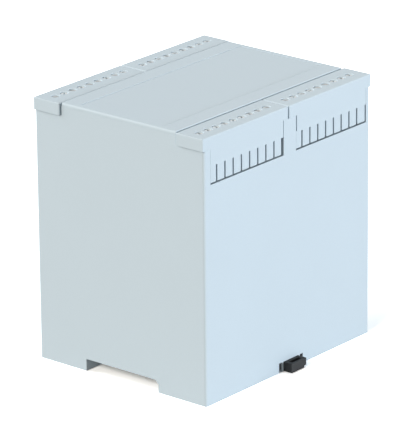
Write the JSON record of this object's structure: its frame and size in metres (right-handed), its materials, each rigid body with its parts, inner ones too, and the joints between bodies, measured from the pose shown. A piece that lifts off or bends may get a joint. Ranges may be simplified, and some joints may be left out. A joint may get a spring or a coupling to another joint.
{
  "type": "din rail enclosure",
  "caption": "Box-shaped plastic enclosure for a 35 mm top-hat rail, with raised top panel, lift-off terminal covers with break-off fins, screw terminals and a sprung foot latch.",
  "frame": {"origin": "middle of the rail seat, the ceiling of the rail groove", "axes": "+Z points away from the rail, +X runs along the rail, -Y is the side with the latch"},
  "size_m": [0.1036, 0.089, 0.1085],
  "materials": {
    "housing_plastic": "fine spark-eroded moulding, light bluish grey",
    "panel_plastic": "fine spark-eroded moulding, light bluish grey",
    "cover_plastic": "fine spark-eroded moulding, light bluish grey",
    "terminal_plastic": "satin moulding, near black",
    "screw_steel": "zinc plated",
    "clamp_steel": "nickel plated",
    "tinned_brass": "tinned",
    "latch_plastic": "satin moulding, black",
    "spring_steel": "drawn spring wire"
  },
  "bodies": {
    "housing_body": {"housing": "housing_plastic", "terminal_block_front_left": "terminal_plastic", "terminal_block_front_right": "terminal_plastic", "terminal_block_rear_left": "terminal_plastic", "terminal_block_rear_right": "terminal_plastic", "clamp_screws_front_left": "screw_steel", "clamp_screws_front_right": "screw_steel", "clamp_screws_rear_left": "screw_steel", "clamp_screws_rear_right": "screw_steel", "wire_clamps_front_left": "clamp_steel", "wire_clamps_front_right": "clamp_steel", "wire_clamps_rear_left": "clamp_steel", "wire_clamps_rear_right": "clamp_steel", "solder_pins_front_left": "tinned_brass", "solder_pins_front_right": "tinned_brass", "solder_pins_rear_left": "tinned_brass", "solder_pins_rear_right": "tinned_brass", "latch_spring": "spring_steel"},
    "panel_body": {"top_panel": "panel_plastic"},
    "cover_front_left_body": {"cover_front_left": "cover_plastic"},
    "cover_front_right_body": {"cover_front_right": "cover_plastic"},
    "cover_rear_left_body": {"cover_rear_left": "cover_plastic"},
    "cover_rear_right_body": {"cover_rear_right": "cover_plastic"},
    "latch_body": {"rail_latch": "latch_plastic"}
  },
  "joints": [
    {"name": "panel_lift", "type": "slide", "parent": "housing_body", "child": "panel_body", "axis": [0, 0, 1], "range_m": [0, 0.03]},
    {"name": "cover_front_left_lift", "type": "slide", "parent": "housing_body", "child": "cover_front_left_body", "axis": [0, 0, 1], "range_m": [0, 0.03]},
    {"name": "cover_front_right_lift", "type": "slide", "parent": "housing_body", "child": "cover_front_right_body", "axis": [0, 0, 1], "range_m": [0, 0.03]},
    {"name": "cover_rear_left_lift", "type": "slide", "parent": "housing_body", "child": "cover_rear_left_body", "axis": [0, 0, 1], "range_m": [0, 0.03]},
    {"name": "cover_rear_right_lift", "type": "slide", "parent": "housing_body", "child": "cover_rear_right_body", "axis": [0, 0, 1], "range_m": [0, 0.03]},
    {"name": "latch_pull", "type": "slide", "parent": "housing_body", "child": "latch_body", "axis": [0, -1, 0], "range_m": [0, 0.0045], "stiffness_N_per_m": 600, "springref_m": -0.004, "deforming": ["latch_spring"]}
  ]
}
